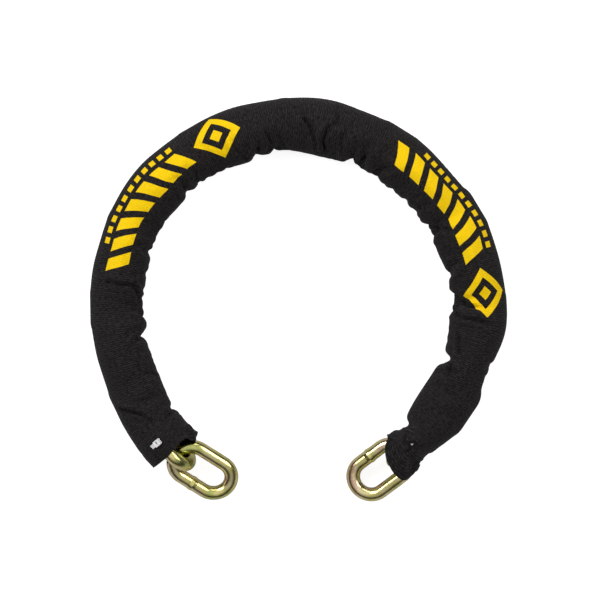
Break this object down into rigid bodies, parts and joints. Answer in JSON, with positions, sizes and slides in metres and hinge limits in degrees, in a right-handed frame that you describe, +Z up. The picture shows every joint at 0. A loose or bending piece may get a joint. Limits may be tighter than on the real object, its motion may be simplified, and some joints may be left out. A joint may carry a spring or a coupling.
{
  "type": "sleeved security chain",
  "caption": "Welded security chain in a black woven fabric sleeve, its two plated end links left bare so that a padlock can join them.",
  "frame": {"origin": "middle of the outline seen from above, on the surface that the chain lies on", "axes": "+Z up off the surface, +Y from the two free ends towards the top of the ring, +X towards the right free end"},
  "size_m": [0.3008, 0.2908, 0.0427],
  "materials": {
    "steel": "yellow zinc plating, glossy, with a green and pink sheen",
    "cloth": "black woven nylon with fine ribs across the tube",
    "nylon": "white, lightly translucent"
  },
  "bodies": {
    "link_01": {"link_01": "steel"},
    "link_02": {"link_02": "steel", "sleeve_01": "cloth", "sleeve_02": "cloth", "tie_left": "nylon"},
    "link_03": {"link_03": "steel", "sleeve_03": "cloth"},
    "link_04": {"link_04": "steel", "sleeve_04": "cloth"},
    "link_05": {"link_05": "steel", "sleeve_05": "cloth"},
    "link_06": {"link_06": "steel", "sleeve_06": "cloth"},
    "link_07": {"link_07": "steel", "sleeve_07": "cloth"},
    "link_08": {"link_08": "steel", "sleeve_08": "cloth"},
    "link_09": {"link_09": "steel", "sleeve_09": "cloth"},
    "link_10": {"link_10": "steel", "sleeve_10": "cloth"},
    "link_11": {"link_11": "steel", "sleeve_11": "cloth"},
    "link_12": {"link_12": "steel", "sleeve_12": "cloth"},
    "link_13": {"link_13": "steel", "sleeve_13": "cloth"},
    "link_14": {"link_14": "steel", "sleeve_14": "cloth"},
    "link_15": {"link_15": "steel", "sleeve_15": "cloth"},
    "link_16": {"link_16": "steel", "sleeve_16": "cloth"},
    "link_17": {"link_17": "steel", "sleeve_17": "cloth"},
    "link_18": {"link_18": "steel", "sleeve_18": "cloth"},
    "link_19": {"link_19": "steel", "sleeve_19": "cloth"},
    "link_20": {"link_20": "steel", "sleeve_20": "cloth", "tie_right": "nylon"},
    "link_21": {"link_21": "steel"}
  },
  "joints": [
    {"name": "swing_01", "type": "hinge", "parent": "link_02", "child": "link_01", "pos_m": [-0.08676, -0.11059, 0.01823], "axis": [-0.5845, -0.7382, -0.3368], "range_deg": [-35, 100]},
    {"name": "bend_02", "type": "hinge", "parent": "link_03", "child": "link_02", "pos_m": [-0.10821, -0.08331, 0.01885], "axis": [0, 0, 1], "range_deg": [-40, 10], "deforming": ["sleeve_02"]},
    {"name": "bend_03", "type": "hinge", "parent": "link_04", "child": "link_03", "pos_m": [-0.11873, -0.06174, 0.01885], "axis": [0, 0, -1], "range_deg": [-13, 37], "deforming": ["sleeve_03"]},
    {"name": "bend_04", "type": "hinge", "parent": "link_05", "child": "link_04", "pos_m": [-0.12962, -0.01807, 0.01885], "axis": [0, 0, 1], "range_deg": [-38, 12], "deforming": ["sleeve_04"]},
    {"name": "bend_05", "type": "hinge", "parent": "link_06", "child": "link_05", "pos_m": [-0.13003, 0.00592, 0.01885], "axis": [0, 0, -1], "range_deg": [-11, 39], "deforming": ["sleeve_05"]},
    {"name": "bend_06", "type": "hinge", "parent": "link_07", "child": "link_06", "pos_m": [-0.11991, 0.04977, 0.01885], "axis": [0, 0, 1], "range_deg": [-41, 9], "deforming": ["sleeve_06"]},
    {"name": "bend_07", "type": "hinge", "parent": "link_08", "child": "link_07", "pos_m": [-0.10828, 0.07076, 0.01885], "axis": [0, 0, -1], "range_deg": [-8, 42], "deforming": ["sleeve_07"]},
    {"name": "bend_08", "type": "hinge", "parent": "link_09", "child": "link_08", "pos_m": [-0.07591, 0.10202, 0.01885], "axis": [0, 0, 1], "range_deg": [-40, 10], "deforming": ["sleeve_08"]},
    {"name": "bend_09", "type": "hinge", "parent": "link_10", "child": "link_09", "pos_m": [-0.05491, 0.11366, 0.01885], "axis": [0, 0, -1], "range_deg": [-11, 39], "deforming": ["sleeve_09"]},
    {"name": "bend_10", "type": "hinge", "parent": "link_11", "child": "link_10", "pos_m": [-0.01145, 0.1253, 0.01885], "axis": [0, 0, 1], "range_deg": [-42, 8], "deforming": ["sleeve_10"]},
    {"name": "bend_11", "type": "hinge", "parent": "link_11", "child": "link_12", "pos_m": [0.01254, 0.12446, 0.01885], "axis": [0, 0, -1], "range_deg": [-40, 10], "deforming": ["sleeve_11"]},
    {"name": "bend_12", "type": "hinge", "parent": "link_12", "child": "link_13", "pos_m": [0.05557, 0.11131, 0.01885], "axis": [0, 0, 1], "range_deg": [-10, 40], "deforming": ["sleeve_12"]},
    {"name": "bend_13", "type": "hinge", "parent": "link_13", "child": "link_14", "pos_m": [0.07592, 0.09859, 0.01885], "axis": [0, 0, -1], "range_deg": [-39, 11], "deforming": ["sleeve_13"]},
    {"name": "bend_14", "type": "hinge", "parent": "link_14", "child": "link_15", "pos_m": [0.10718, 0.06622, 0.01885], "axis": [0, 0, 1], "range_deg": [-12, 38], "deforming": ["sleeve_14"]},
    {"name": "bend_15", "type": "hinge", "parent": "link_15", "child": "link_16", "pos_m": [0.11954, 0.04565, 0.01885], "axis": [0, 0, -1], "range_deg": [-42, 8], "deforming": ["sleeve_15"]},
    {"name": "bend_16", "type": "hinge", "parent": "link_16", "child": "link_17", "pos_m": [0.13043, 0.00198, 0.01885], "axis": [0, 0, 1], "range_deg": [-8, 42], "deforming": ["sleeve_16"]},
    {"name": "bend_17", "type": "hinge", "parent": "link_17", "child": "link_18", "pos_m": [0.12917, -0.02198, 0.01885], "axis": [0, 0, -1], "range_deg": [-42, 8], "deforming": ["sleeve_17"]},
    {"name": "bend_18", "type": "hinge", "parent": "link_18", "child": "link_19", "pos_m": [0.11378, -0.06427, 0.01885], "axis": [0, 0, 1], "range_deg": [-11, 39], "deforming": ["sleeve_18"]},
    {"name": "bend_19", "type": "hinge", "parent": "link_19", "child": "link_20", "pos_m": [0.10036, -0.08417, 0.01885], "axis": [0, 0, -1], "range_deg": [-37, 13], "deforming": ["sleeve_19"]},
    {"name": "bend_20", "type": "hinge", "parent": "link_20", "child": "link_21", "pos_m": [0.06799, -0.11543, 0.01885], "axis": [0, 0, 1], "range_deg": [-11, 23]}
  ]
}
